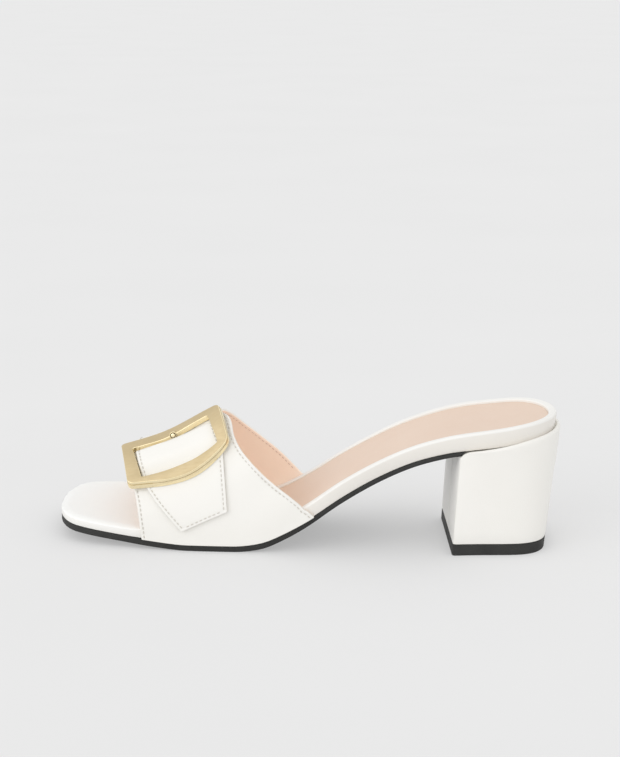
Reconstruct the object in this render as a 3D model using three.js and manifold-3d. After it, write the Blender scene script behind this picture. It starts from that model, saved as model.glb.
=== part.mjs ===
// Block-heeled slide mule for the left foot: a leather-wrapped footbed on a thin
// outsole and a covered heel, with one wide open-toed vamp and a buckled strap.
// Millimetres. +X runs from toe to heel, +Y to the inner side of the foot, +Z up.
import * as THREE from 'three';
import { mergeVertices } from 'three/addons/utils/BufferGeometryUtils.js';
import Module from 'manifold-3d';

const wasm = await Module();
wasm.setup();

// ---------------------------------------------------------------- dimensions
const GAP = 0.3;              // clearance between curved pieces
const VAMP_GAP = 0.45;        // clearance between the vamp and the footbed's side
const VAMP_WALL = 1.8;        // upper leather and its lining
const STRAP_WALL = 1.6;       // doubled strap leather
const SOCK_THICKNESS = 1.0;   // padded sock leather
const SOCK_SINK = 0.2;        // sock's face below the footbed's border
const SOCK_BORDER = 4.0;      // footbed border left round the sock
const SOCK_START_X = -70;     // sock's front edge, under the vamp
const HEEL_CAP_HEIGHT = 5.4;
const BREAST_X = { floor: 67.3, seat: 71.8 };       // heel's front face, on the centre line
const BREAST_SKEW = 0.6;      // front face runs this much forward at its medial edge
const HEEL_BACK_X = { floor: 113.5, seat: 120 };
const HEEL_HALF_WIDTH = { floor: 27.2, seat: 30.6 };
const SEAT_HEIGHT = 57;       // height at which the seat sizes above are given
const HEEL_CORNER = 1.2;      // small round on the heel's front edges
const HEEL_TOP_Z = 66;
const LIP_RISE = 2.2;         // heel cover's lip above the footbed's underside at the back
const OUTSOLE_END_X = 70.3;   // outsole stops at the heel breast

// Footbed outline seen from above. The lateral side is -y, the medial side +y,
// both measured from the heel's centre line.
const PLAN = [
  { x: -120.6, lateral: 17, medial: 17 },
  { x: -118.8, lateral: 3, medial: 34 },
  { x: -113.5, lateral: -6.5, medial: 46.5 },
  { x: -105, lateral: -11.5, medial: 52.5 },
  { x: -88, lateral: -16, medial: 56 },
  { x: -64, lateral: -19.5, medial: 56 },
  { x: -40, lateral: -21.5, medial: 50.5 },
  { x: -14, lateral: -22.5, medial: 38.5 },
  { x: 16, lateral: -23.5, medial: 30.5 },
  { x: 50, lateral: -25, medial: 29.5 },
  { x: 85, lateral: -28, medial: 30.5 },
  { x: 105, lateral: -23.5, medial: 26 },
  { x: 115, lateral: -13.5, medial: 16 },
  { x: 118.8, lateral: 1, medial: 1 },
];

// How far the outsole reaches past the footbed, to carry the vamp's lower edge.
const SOLE_MARGIN = [
  { x: -121, reach: 0 },
  { x: -88, reach: 0 },
  { x: -74, reach: 1 },
  { x: -10, reach: 1 },
  { x: 10, reach: -0.8 },
  { x: 40, reach: -1.2 },
  { x: 120, reach: -1 },
];

// Side profile: underside of the outsole, then the two thicknesses above it.
const PROFILE = [
  { x: -122, underside: 6.4, outsole: 3.2, footbed: 4.4 },
  { x: -100, underside: 4.2, outsole: 3.2, footbed: 4.6 },
  { x: -78, underside: 1.8, outsole: 3.1, footbed: 4.9 },
  { x: -58, underside: 0, outsole: 3.0, footbed: 5.2 },
  { x: -34, underside: 0, outsole: 3.0, footbed: 5.6 },
  { x: -22, underside: 1.5, outsole: 3.2, footbed: 5.9 },
  { x: -14, underside: 4.7, outsole: 3.2, footbed: 6.3 },
  { x: 0, underside: 12.6, outsole: 3.1, footbed: 7.1 },
  { x: 16, underside: 23.9, outsole: 2.8, footbed: 7.4 },
  { x: 32, underside: 33.7, outsole: 2.5, footbed: 7.3 },
  { x: 48, underside: 41.4, outsole: 2.3, footbed: 7.3 },
  { x: 64, underside: 46.6, outsole: 2.0, footbed: 7.7 },
  { x: 76, underside: 48.9, outsole: 1.8, footbed: 8.2 },
  { x: 92, underside: 50.9, outsole: 1.6, footbed: 8.6 },
  { x: 106, underside: 52.8, outsole: 1.6, footbed: 8.5 },
  { x: 124, underside: 54.4, outsole: 1.6, footbed: 8.3 },
];

// Ridge line of the last over the forefoot and instep.
const RIDGE = [
  { x: -92, y: 13, z: 38.5 },
  { x: -67, y: 12, z: 47 },
  { x: -45, y: 10, z: 59.5 },
  { x: -20, y: 7, z: 74 },
  { x: 6, y: 5, z: 87 },
];

// Edges of the vamp: x of the toe opening and of the throat at shares of the way
// round the section, from the lateral feather edge (0) to the medial one (1).
const VAMP_EDGES = [
  { share: 0, toe: -78.7, throat: 3.3 },
  { share: 0.08, toe: -79.2, throat: -1.8 },
  { share: 0.12, toe: -79.8, throat: -7.6 },
  { share: 0.16, toe: -80.4, throat: -14.6 },
  { share: 0.2, toe: -81.2, throat: -21.2 },
  { share: 0.24, toe: -82.2, throat: -27 },
  { share: 0.28, toe: -83.2, throat: -31.6 },
  { share: 0.33, toe: -84.4, throat: -35 },
  { share: 0.38, toe: -85.6, throat: -36.4 },
  { share: 0.42, toe: -86.3, throat: -37.4 },
  { share: 0.45, toe: -86.7, throat: -40.8 },
  { share: 0.48, toe: -87.1, throat: -43.6 },
  { share: 0.52, toe: -87.4, throat: -45 },
  { share: 0.56, toe: -87.6, throat: -44.4 },
  { share: 0.61, toe: -87.8, throat: -41.4 },
  { share: 0.67, toe: -87.6, throat: -37.3 },
  { share: 0.73, toe: -87, throat: -31.4 },
  { share: 0.78, toe: -86.4, throat: -24 },
  { share: 0.83, toe: -85.8, throat: -15.6 },
  { share: 0.88, toe: -85.2, throat: -8.1 },
  { share: 0.93, toe: -84.6, throat: -1.5 },
  { share: 1, toe: -84, throat: 3.3 },
];
const BAND_SHARE = 0.08;      // share of the section that stands beside the footbed

// Strap over the vamp. reach is measured round the section from the ridge,
// towards the lateral side; front and back are the strap's two edges.
const STRAP = [
  { reach: -60, front: -81.5, back: -42 },
  { reach: -30, front: -83, back: -44 },
  { reach: 0, front: -82.8, back: -45 },
  { reach: 10, front: -81.6, back: -44.2 },
  { reach: 18, front: -79.9, back: -42.4 },
  { reach: 25, front: -78.1, back: -40.4 },
  { reach: 32, front: -75.8, back: -39.3 },
  { reach: 40, front: -71.2, back: -38.7 },
];
const STRAP_TIP = { front: { x: -59.2, reach: 58.3 }, back: { x: -37.5, reach: 58.8 } };
const STRAP_TURN = -30;       // past this reach the strap runs on to the sole's medial edge
const STRAP_END_SHARE = 0.985;  // share of the section at which it ends there

// Buckle frame on the strap, in the same two coordinates: its four outer corners,
// and how far the near bar bows out beyond the straight line between its ends.
const BUCKLE = {
  thickness: 2.6,
  bar: 5.6,
  corner: 3,
  bow: 6.6,
  far: { front: { x: -89.2, reach: 4 }, back: { x: -40.4, reach: 3.6 } },
  near: { front: { x: -84.3, reach: 30.8 }, back: { x: -35.6, reach: 27.8 } },
};
const LUG = { x: -62, width: 2.8, length: 2.6, height: 2.4, clear: 0.7 };   // post beside the far bar

// ------------------------------------------------------------------- curves
// Smooth value of a table's column at x, through every row.
function column(table, key, along = 'x') {
  const xs = table.map((row) => row[along]);
  const vs = table.map((row) => row[key]);
  const slope = (i) => {
    const a = Math.max(i - 1, 0);
    const b = Math.min(i + 1, xs.length - 1);
    return (vs[b] - vs[a]) / (xs[b] - xs[a]);
  };
  return (x) => {
    const last = xs.length - 2;
    const found = xs.findIndex((value) => value > x) - 1;
    const i = found < -1 ? last : Math.min(Math.max(found, 0), last);
    const span = xs[i + 1] - xs[i];
    const t = (x - xs[i]) / span;
    if (t < 0) return vs[i] + slope(i) * (x - xs[i]);
    if (t > 1) return vs[i + 1] + slope(i + 1) * (x - xs[i + 1]);
    const h = t * t * (3 - 2 * t);
    const rise = span * t * (1 - t);
    return vs[i] * (1 - h) + vs[i + 1] * h + rise * ((1 - t) * slope(i) - t * slope(i + 1));
  };
}

const underside = (x) => Math.max(0, column(PROFILE, 'underside')(x));
const soleTop = (x) => underside(x) + column(PROFILE, 'outsole')(x);
const footbedTop = (x) => soleTop(x) + column(PROFILE, 'footbed')(x);
const mix = (a, b, t) => a + (b - a) * t;

// Footbed outline as a ring of points, moved inwards by inset.
const OUTLINE_STEPS = 120;
function outline(inset = () => 0) {
  const lateral = PLAN.map((row) => new THREE.Vector3(row.x, row.lateral, 0));
  const medial = PLAN.slice(1, -1).map((row) => new THREE.Vector3(row.x, row.medial, 0));
  const curve = new THREE.CatmullRomCurve3([...lateral, ...medial.reverse()], true, 'centripetal');
  const ring = curve.getSpacedPoints(OUTLINE_STEPS).slice(0, -1);
  return ring.map((point, i) => {
    const before = ring[(i + ring.length - 1) % ring.length];
    const after = ring[(i + 1) % ring.length];
    const along = after.clone().sub(before).normalize();
    const shift = inset(point.x);
    return new THREE.Vector2(point.x - along.y * shift, point.y + along.x * shift);
  });
}

// y of the footbed's edge at x, on the lateral (-1) or medial (+1) side.
const EDGE_RING = outline();
function footbedEdge(x, side) {
  for (let i = 0; i < EDGE_RING.length; i += 1) {
    const a = EDGE_RING[i];
    const b = EDGE_RING[(i + 1) % EDGE_RING.length];
    const forward = b.x > a.x ? -1 : 1;
    if (forward === side && (a.x - x) * (b.x - x) <= 0 && a.x !== b.x) {
      return mix(a.y, b.y, (x - a.x) / (b.x - a.x));
    }
  }
  return side * HEEL_HALF_WIDTH.seat;
}

// ------------------------------------------------------------------- solids
function toSolid(geometry) {
  const bare = geometry.clone();
  bare.deleteAttribute('normal');
  bare.deleteAttribute('uv');
  const merged = mergeVertices(bare, 1e-4);
  return new wasm.Manifold(new wasm.Mesh({
    numProp: 3,
    vertProperties: new Float32Array(merged.attributes.position.array),
    triVerts: new Uint32Array(merged.index.array),
  }));
}

function toGeometry(solid) {
  const mesh = solid.getMesh();
  const geometry = new THREE.BufferGeometry();
  geometry.setAttribute('position', new THREE.BufferAttribute(mesh.vertProperties, mesh.numProp));
  geometry.setIndex(new THREE.BufferAttribute(mesh.triVerts, 1));
  return geometry;
}

// Upright prism on a ring of points.
const PRISM = { low: -10, high: 110 };
function prism(ring) {
  const geometry = new THREE.ExtrudeGeometry(new THREE.Shape(ring), {
    depth: PRISM.high - PRISM.low, bevelEnabled: false,
  });
  return toSolid(geometry.translate(0, 0, PRISM.low));
}

// Everything between two heights that change along the shoe, right across it.
const SLAB = { from: -124, to: 124, steps: 62, width: 160 };
function slab(low, high) {
  const stations = Array.from({ length: SLAB.steps + 1 }, (_, i) => mix(SLAB.from, SLAB.to, i / SLAB.steps));
  const lower = stations.map((x) => new THREE.Vector2(x, low(x)));
  const upper = stations.map((x) => new THREE.Vector2(x, high(x))).reverse();
  const geometry = new THREE.ExtrudeGeometry(new THREE.Shape([...lower, ...upper]), {
    depth: SLAB.width, bevelEnabled: false,
  });
  return toSolid(geometry.rotateX(Math.PI / 2).translate(0, SLAB.width / 2, 0));
}

// Closed mesh from rings of equal length, each joined to the next. With capped,
// the first and last rings are filled; without it, the last joins the first.
function loft(rings, capped) {
  const count = rings[0].length;
  const index = [];
  const bands = capped ? rings.length - 1 : rings.length;
  for (let i = 0; i < bands; i += 1) {
    const next = (i + 1) % rings.length;
    for (let j = 0; j < count; j += 1) {
      const k = (j + 1) % count;
      index.push(i * count + j, i * count + k, next * count + k);
      index.push(i * count + j, next * count + k, next * count + j);
    }
  }
  if (capped) {
    const top = (rings.length - 1) * count;
    const flat = (ring) => ring.map((point) => new THREE.Vector2(point.x, point.y));
    THREE.ShapeUtils.triangulateShape(flat(rings[0]), []).forEach(([a, b, c]) => index.push(c, b, a));
    THREE.ShapeUtils.triangulateShape(flat(rings.at(-1)), []).forEach(([a, b, c]) => {
      index.push(top + a, top + b, top + c);
    });
  }
  const geometry = new THREE.BufferGeometry().setFromPoints(rings.flat());
  geometry.setIndex(index);
  return geometry;
}

// Closed sheet with an outer and an inner face, each a grid of the same size.
function sheet(outer, inner) {
  const rows = outer.length;
  const rings = outer.map((row, i) => [...row, ...[...inner[i]].reverse()]);
  const count = rings[0].length;
  const half = outer[0].length;
  const geometry = loft(rings, true);
  const index = Array.from(geometry.index.array).slice(0, (rows - 1) * count * 6);
  for (const [start, flip] of [[0, true], [(rows - 1) * count, false]]) {
    for (let j = 0; j < half - 1; j += 1) {
      const [a, b] = [start + j, start + j + 1];
      const [c, d] = [start + count - 2 - j, start + count - 1 - j];
      index.push(...(flip ? [a, c, b, a, d, c] : [a, b, c, a, c, d]));
    }
  }
  geometry.setIndex(index);
  return geometry;
}

// A closed mesh with its faces turned outwards, whichever way its rings ran.
function facingOut(geometry) {
  const position = geometry.attributes.position;
  const corner = (k) => new THREE.Vector3().fromBufferAttribute(position, k);
  const index = Array.from(geometry.index.array);
  let volume = 0;
  for (let i = 0; i < index.length; i += 3) {
    volume += corner(index[i]).dot(corner(index[i + 1]).cross(corner(index[i + 2])));
  }
  geometry.setIndex(volume < 0 ? index.reverse() : index);
  return geometry;
}

// ---------------------------------------------------------------- the upper
// Point on the outside of the vamp at x, at a share of the way round the section.
const ridgeY = column(RIDGE, 'y');
const ridgeZ = column(RIDGE, 'z');
function vampSkin(x, share) {
  const side = share < 0.5 ? -1 : 1;
  const fromEdge = share < 0.5 ? share : 1 - share;
  const edge = footbedEdge(x, side) + side * (VAMP_GAP + VAMP_WALL);
  const feather = soleTop(x) + GAP;
  const rim = footbedTop(x);
  if (fromEdge < BAND_SHARE) return new THREE.Vector3(x, edge, mix(feather, rim, fromEdge / BAND_SHARE));
  const angle = ((fromEdge - BAND_SHARE) / (0.5 - BAND_SHARE)) * (Math.PI / 2);
  const y = mix(ridgeY(x), edge, Math.cos(angle));
  return new THREE.Vector3(x, y, mix(rim, ridgeZ(x), Math.sin(angle)));
}

const NORMAL_STEP = { x: 0.4, share: 0.004 };
function onVamp(x, share, lift) {
  const point = vampSkin(x, share);
  const low = Math.max(share - NORMAL_STEP.share, 0);
  const high = Math.min(share + NORMAL_STEP.share, 1);
  const across = vampSkin(x, high).sub(vampSkin(x, low));
  const along = vampSkin(x + NORMAL_STEP.x, share).sub(vampSkin(x - NORMAL_STEP.x, share));
  const normal = along.cross(across).normalize();
  return point.addScaledVector(normal, lift);
}

// Share of the section at a distance round it from the ridge, towards the lateral side.
const WALK_STEPS = 60;
function shareAt(x, reach) {
  const stop = reach > 0 ? 0 : 1;
  let walked = 0;
  let here = vampSkin(x, 0.5);
  for (let i = 1; i <= WALK_STEPS; i += 1) {
    const there = vampSkin(x, mix(0.5, stop, i / WALK_STEPS));
    const step = there.distanceTo(here);
    if (walked + step >= Math.abs(reach)) {
      return mix(0.5, stop, (i - 1 + (Math.abs(reach) - walked) / step) / WALK_STEPS);
    }
    walked += step;
    here = there;
  }
  return stop;
}
const onStrapLine = (x, reach, lift) => onVamp(x, shareAt(x, reach), lift);

const VAMP_GRID = { across: 44, along: 10 };
function vamp() {
  const toe = column(VAMP_EDGES, 'toe', 'share');
  const throat = column(VAMP_EDGES, 'throat', 'share');
  const grid = (lift) => Array.from({ length: VAMP_GRID.across + 1 }, (_, i) => {
    const share = i / VAMP_GRID.across;
    return Array.from({ length: VAMP_GRID.along + 1 }, (__, j) => (
      onVamp(mix(toe(share), throat(share), j / VAMP_GRID.along), share, lift)
    ));
  });
  return sheet(grid(0), grid(-VAMP_WALL));
}

const STRAP_GRID = { along: 40, across: 8 };
const STRAP_TIP_SHARE = 0.2;  // part of the grid's rows spent on the tapered tip
function strap() {
  const front = column(STRAP, 'front', 'reach');
  const back = column(STRAP, 'back', 'reach');
  const start = STRAP[0].reach;
  const parallel = STRAP.at(-1).reach;
  const grid = (lift) => Array.from({ length: STRAP_GRID.along + 1 }, (_, i) => {
    const share = i / STRAP_GRID.along;
    const body = Math.min(share / (1 - STRAP_TIP_SHARE), 1);
    const end = Math.max(1 - (1 - share) / STRAP_TIP_SHARE, 0);
    const reach = mix(start, parallel, body);
    return Array.from({ length: STRAP_GRID.across + 1 }, (__, j) => {
      const t = j / STRAP_GRID.across;
      const tipX = mix(STRAP_TIP.front.x, STRAP_TIP.back.x, t);
      const tipReach = mix(STRAP_TIP.front.reach, STRAP_TIP.back.reach, t);
      const x = mix(mix(front(reach), back(reach), t), tipX, end);
      const round = shareAt(x, Math.max(mix(reach, tipReach, end), STRAP_TURN));
      const down = Math.max((STRAP_TURN - reach) / (STRAP_TURN - start), 0);
      return onVamp(x, mix(round, STRAP_END_SHARE, down), lift);
    });
  });
  return sheet(grid(GAP + STRAP_WALL), grid(GAP));
}

// Rounded loop in the buckle's own plane: u runs from the far bar (0) to the near
// one (1), v from the front bar (0) to the back one (1); margin is in millimetres.
const LOOP_STEPS = 9;
const CORNER_STEPS = 3;
function buckleLoop(margin) {
  const { far, near, corner, bow } = BUCKLE;
  const depth = mix(near.front.reach - far.front.reach, near.back.reach - far.back.reach, 0.5);
  const width = mix(far.back.x - far.front.x, near.back.x - near.front.x, 0.5);
  const radius = Math.max(corner - margin, 1);
  const [u0, v0] = [(margin + radius) / depth, (margin + radius) / width];
  const [ru, rv] = [radius / depth, radius / width];
  const corners = [
    { u: u0, v: v0, turn: -Math.PI / 2 },
    { u: u0, v: 1 - v0, turn: Math.PI },
    { u: 1 - u0, v: 1 - v0, turn: Math.PI / 2 },
    { u: 1 - u0, v: v0, turn: 0 },
  ];
  const rounded = corners.map(({ u, v, turn }) => Array.from({ length: CORNER_STEPS + 1 }, (_, i) => {
    const angle = turn - (i / CORNER_STEPS) * (Math.PI / 2);
    return { u: u + ru * Math.cos(angle), v: v + rv * Math.sin(angle) };
  }));
  const loop = rounded.flatMap((arc, i) => {
    const next = rounded[(i + 1) % rounded.length][0];
    const end = arc.at(-1);
    const straight = Array.from({ length: LOOP_STEPS }, (_, k) => {
      const t = (k + 1) / (LOOP_STEPS + 1);
      return { u: mix(end.u, next.u, t), v: mix(end.v, next.v, t) };
    });
    return [...arc, ...straight];
  });
  return loop.map(({ u, v }) => {
    const place = (key) => mix(mix(far.front[key], near.front[key], u), mix(far.back[key], near.back[key], u), v);
    return { x: place('x'), reach: place('reach') + bow * u * u * (1 - (2 * v - 1) ** 2) };
  });
}

function buckle() {
  const base = GAP + STRAP_WALL + GAP;
  const top = base + BUCKLE.thickness;
  const place = (loop, lift) => loop.map(({ x, reach }) => onStrapLine(x, reach, lift));
  const outer = buckleLoop(0);
  const inner = buckleLoop(BUCKLE.bar);
  return loft([place(outer, base), place(outer, top), place(inner, top), place(inner, base)], false);
}

// Small post beside the far bar, standing on the strap inside the frame.
function lug() {
  const { far, bar } = BUCKLE;
  const along = (LUG.x - far.front.x) / (far.back.x - far.front.x);
  const near = mix(far.front.reach, far.back.reach, along) + bar + LUG.clear;
  const base = GAP + STRAP_WALL + GAP;
  const corners = [[-0.5, 1], [0.5, 1], [0.5, 0], [-0.5, 0]];
  const ring = (lift) => corners.map(([side, out]) => (
    onStrapLine(LUG.x + side * LUG.width, near + out * LUG.length, lift)
  ));
  return loft([ring(base), ring(base + LUG.height)], true);
}

// ----------------------------------------------------------------- the heel
// Ring round the heel at a share of the way up from the floor to the seat.
const HEEL_TAIL = { start: { floor: 88, seat: 82 }, power: { floor: 3.4, seat: 2.2 } };
const HEEL_FRONT_HALF = { floor: 28, seat: 29 };
const TAIL_STEPS = 12;
function heelRing(z) {
  const up = z / SEAT_HEIGHT;
  const at = ({ floor, seat }) => mix(floor, seat, up);
  const [front, back, half] = [at(BREAST_X), at(HEEL_BACK_X), at(HEEL_HALF_WIDTH)];
  const [start, power] = [at(HEEL_TAIL.start), at(HEEL_TAIL.power)];
  const frontHalf = at(HEEL_FRONT_HALF);
  const side = [
    { x: front, y: frontHalf - HEEL_CORNER },
    { x: front + HEEL_CORNER, y: frontHalf },
    { x: mix(front, start, 0.5), y: mix(frontHalf, half, 0.75) },
  ];
  const tail = Array.from({ length: TAIL_STEPS + 1 }, (_, i) => {
    const angle = (i / TAIL_STEPS) * (Math.PI / 2);
    return {
      x: start + (back - start) * Math.sin(angle) ** (2 / power),
      y: half * Math.max(Math.cos(angle), 0) ** (2 / power),
    };
  });
  const medial = [...side, ...tail];
  const lateral = medial.slice(0, -1).map(({ x, y }) => ({ x, y: -y }));
  const skew = (x, y) => (x < mix(front, start, 0.5) ? -BREAST_SKEW * (y / frontHalf) : 0);
  return [...lateral, ...medial.reverse()].map(({ x, y }) => new THREE.Vector3(x + skew(x, y), y, z));
}

const HEEL_LEVELS = 5;
function heelBlock() {
  const bottom = HEEL_CAP_HEIGHT + GAP;
  const levels = Array.from({ length: HEEL_LEVELS }, (_, i) => mix(bottom, HEEL_TOP_Z, i / (HEEL_LEVELS - 1)));
  const block = toSolid(loft(levels.map(heelRing), true));
  const lipShare = (x) => Math.min(Math.max((x - BREAST_X.seat) / (HEEL_BACK_X.seat - BREAST_X.seat), 0), 1);
  const lipTop = (x) => soleTop(x) + LIP_RISE * lipShare(x);
  const seat = prism(outline(() => -GAP)).intersect(slab(soleTop, () => PRISM.high));
  return toGeometry(block.intersect(slab(() => PRISM.low, lipTop)).subtract(seat));
}

const heelCap = () => loft([heelRing(0), heelRing(HEEL_CAP_HEIGHT)], true);

// ----------------------------------------------------------------- the sole
const sockTop = (x) => footbedTop(x) - SOCK_SINK;
const sockBottom = (x) => sockTop(x) - SOCK_THICKNESS;
function footbed() {
  const platform = prism(outline()).intersect(slab((x) => soleTop(x) + GAP, footbedTop));
  const bed = slab((x) => sockBottom(x) - GAP, () => PRISM.high);
  const pocket = prism(outline(() => SOCK_BORDER - GAP)).intersect(bed);
  return toGeometry(platform.subtract(pocket.intersect(boxBetween(SOCK_START_X - GAP, SLAB.to))));
}

function boxBetween(fromX, toX) {
  const geometry = new THREE.BoxGeometry(toX - fromX, SLAB.width, PRISM.high - PRISM.low);
  return toSolid(geometry.translate((fromX + toX) / 2, 0, (PRISM.high + PRISM.low) / 2));
}

function outsole() {
  const margin = column(SOLE_MARGIN, 'reach');
  const plate = prism(outline((x) => -margin(x))).intersect(slab(underside, soleTop));
  return toGeometry(plate.intersect(boxBetween(SLAB.from, OUTSOLE_END_X)));
}

function sock() {
  const plate = prism(outline(() => SOCK_BORDER)).intersect(slab(sockBottom, sockTop));
  return toGeometry(plate.intersect(boxBetween(SOCK_START_X, SLAB.to)));
}

// ---------------------------------------------------------------- materials
const LEATHER_WHITE = { color: 0xf4f2ec, roughness: 0.38, metalness: 0 };
const LEATHER_BLUSH = { color: 0xebd6c7, roughness: 0.55, metalness: 0 };
const PALE_GOLD = { color: 0xe0cd96, roughness: 0.34, metalness: 1 };
const SOLE_BLACK = { color: 0x262523, roughness: 0.6, metalness: 0 };

const shoe = new THREE.Group();
for (const [name, geometry, finish] of [
  ['outsole', outsole(), SOLE_BLACK],
  ['footbed', footbed(), LEATHER_WHITE],
  ['sock', sock(), LEATHER_BLUSH],
  ['vamp', vamp(), LEATHER_WHITE],
  ['buckle_strap', strap(), LEATHER_WHITE],
  ['buckle', buckle(), PALE_GOLD],
  ['buckle_lug', lug(), PALE_GOLD],
  ['heel_block', heelBlock(), LEATHER_WHITE],
  ['heel_cap', heelCap(), SOLE_BLACK],
]) {
  const mesh = new THREE.Mesh(facingOut(geometry), new THREE.MeshStandardMaterial(finish));
  mesh.name = name;
  shoe.add(mesh);
}

// The origin is the middle of the shoe's footprint, on the floor.
const box = new THREE.Box3().setFromObject(shoe);
shoe.position.set(-(box.min.x + box.max.x) / 2, -(box.min.y + box.max.y) / 2, 0);
shoe.updateMatrixWorld(true);

export default shoe;
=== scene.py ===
# Block-heeled slide mule for the left foot, dressed over its CAD frame.
# Flat pieces are cut in millimetres, then laid in place on the last or on the sole.
from math import cos, exp, hypot, pi, radians, sin

import bmesh
import bpy
from mathutils import Matrix, Vector
from mathutils.kdtree import KDTree


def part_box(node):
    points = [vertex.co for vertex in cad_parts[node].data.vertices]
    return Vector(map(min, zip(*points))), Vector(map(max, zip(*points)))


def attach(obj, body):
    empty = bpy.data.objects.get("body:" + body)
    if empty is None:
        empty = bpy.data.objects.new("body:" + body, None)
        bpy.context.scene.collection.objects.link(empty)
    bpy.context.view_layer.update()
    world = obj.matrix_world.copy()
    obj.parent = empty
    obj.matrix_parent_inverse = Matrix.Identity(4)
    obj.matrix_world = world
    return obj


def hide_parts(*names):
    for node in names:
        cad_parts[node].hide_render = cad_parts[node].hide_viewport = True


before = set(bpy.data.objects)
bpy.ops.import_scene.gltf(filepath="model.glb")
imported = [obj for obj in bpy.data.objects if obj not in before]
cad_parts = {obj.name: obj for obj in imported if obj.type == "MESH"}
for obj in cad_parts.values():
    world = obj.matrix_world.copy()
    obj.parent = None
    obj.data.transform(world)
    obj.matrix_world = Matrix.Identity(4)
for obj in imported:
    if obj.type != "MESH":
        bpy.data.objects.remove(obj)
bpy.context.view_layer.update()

# ------------------------------------------------------------------ shoe sizes
MM = 0.001
SOCK_START_X = -70
CAP_LOW, CAP_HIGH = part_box("heel_cap")
ORIGIN_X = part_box("sock")[0][0] - SOCK_START_X * MM
ORIGIN_Y = (CAP_LOW[1] + CAP_HIGH[1]) / 2      # the heel's centre line

VAMP_GAP = 0.45
VAMP_WALL = 1.8
STRAP_WALL = 1.6
SOCK_BORDER = 4.0
HEEL_CAP_HEIGHT = 5.4
OUTSOLE_END_X = 70.3
SEAT_HEIGHT = 57
BREAST_X = {"floor": 67.3, "seat": 70.5}
BREAST_SKEW = 0.6
HEEL_BACK_X = {"floor": 113.5, "seat": 120}
HEEL_HALF_WIDTH = {"floor": 27.2, "seat": 30.6}
HEEL_FRONT_HALF = {"floor": 28, "seat": 28.6}
HEEL_CORNER = 1.2
HEEL_TAIL_START = {"floor": 88, "seat": 82}
HEEL_TAIL_POWER = {"floor": 3.4, "seat": 2.2}
LIP_RISE = 2.2

# Footbed outline from above: x, lateral edge, medial edge.
PLAN = [
    (-120.6, 17, 17), (-118.8, 3, 34), (-113.5, -6.5, 46.5), (-105, -11.5, 52.5),
    (-88, -16, 56), (-64, -19.5, 56), (-40, -21.5, 50.5), (-14, -22.5, 38.5),
    (16, -23.5, 30.5), (50, -25, 29.5), (85, -28, 30.5), (105, -23.5, 26),
    (115, -13.5, 16), (118.8, 1, 1),
]
# Side profile: x, underside of the outsole, outsole's thickness, footbed's thickness.
PROFILE = [
    (-122, 6.4, 3.2, 4.4), (-100, 4.2, 3.2, 4.6), (-78, 1.8, 3.1, 4.9), (-58, 0, 3.0, 5.2),
    (-34, 0, 3.0, 5.6), (-22, 1.5, 3.2, 5.9), (-14, 4.7, 3.2, 6.3), (0, 12.6, 3.1, 7.1),
    (16, 23.9, 2.8, 7.4), (32, 33.7, 2.5, 7.3), (48, 41.4, 2.3, 7.3), (64, 46.6, 2.0, 7.7),
    (76, 48.9, 1.8, 8.2), (92, 50.9, 1.6, 8.6), (106, 52.8, 1.6, 8.5), (124, 54.4, 1.6, 8.3),
]
# How far the outsole reaches past the footbed: x, reach.
SOLE_MARGIN = [(-121, 0), (-88, 0), (-74, 1), (-10, 1), (10, -0.8), (40, -1.2), (70, -1), (120, -1)]
# Ridge line of the last: x, y, z.
RIDGE = [(-92, 13, 38.5), (-67, 12, 47), (-45, 10, 59.5), (-20, 7, 74), (6, 5, 87)]
# Edges of the vamp: share of the way round the section, toe opening's x, throat's x.
VAMP_EDGES = [
    (0, -78.7, 3.3), (0.08, -79.2, -1.8), (0.12, -79.8, -7.6), (0.16, -80.4, -14.6),
    (0.2, -81.2, -21.2), (0.24, -82.2, -27), (0.28, -83.2, -31.6), (0.33, -84.4, -35),
    (0.38, -85.6, -36.4), (0.42, -86.3, -38), (0.45, -86.7, -40.2), (0.48, -87.1, -42.3),
    (0.52, -87.4, -43.9), (0.56, -87.6, -43.6), (0.61, -87.8, -41.2), (0.67, -87.6, -37.3),
    (0.73, -87, -31.4), (0.78, -86.4, -24), (0.83, -85.8, -15.6), (0.88, -85.2, -8.1),
    (0.93, -84.6, -1.5), (1, -84, 3.3),
]
BAND_SHARE = 0.08
# Strap: reach round the section from the ridge, front edge's x, back edge's x.
STRAP = [
    (-60, -81.5, -42), (-30, -83, -44), (0, -82.8, -45), (10, -81.6, -44.2), (18, -79.9, -42.4),
    (25, -78.1, -40.4), (32, -75.8, -39.3), (40, -71.2, -38.7),
]
STRAP_TIP = {"front": (-59.2, 58.3), "back": (-37.5, 58.8)}
STRAP_TURN = -30               # past this reach the strap runs on to the sole's medial edge
STRAP_END_SHARE = 0.985
# Buckle: x of the front and back bars' edges at their far and near ends, then reaches.
BUCKLE_OUTER = {"front": (-89.2, -84.3), "back": (-40.4, -35.6), "far": (3.3, 3.9), "bow": 0}
BUCKLE_INNER = {"front": (-82.7, -77.6), "back": (-45.6, -40.8), "far": (10.2, 9.4), "bow": 0.9}
# Near bar from front to back: share of its length, reach of one of its edges.
NEAR_BASE = [(0, 30.8), (0.2, 32.6), (0.4, 34.5), (0.6, 35.9), (0.75, 35.2), (0.9, 31.8), (1, 27.8)]
NEAR_FACE = [(0, 28.9), (0.2, 30.5), (0.4, 32.5), (0.6, 33.7), (0.75, 32.7), (0.9, 29.8), (1, 26.6)]
NEAR_INNER = [(0, 27.6), (0.25, 28), (0.5, 28.4), (0.7, 28.5), (0.85, 27.5), (1, 25.6)]
BUCKLE_DRAFT = 0.35
BUCKLE_BASE = 2.0
BUCKLE_TOP = 4.7
NEAR_RISE = 0.03               # the frame grows this much taller for each millimetre past its hole
STITCH_PITCH = 2.2
STITCH_INSET = 1.5
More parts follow.
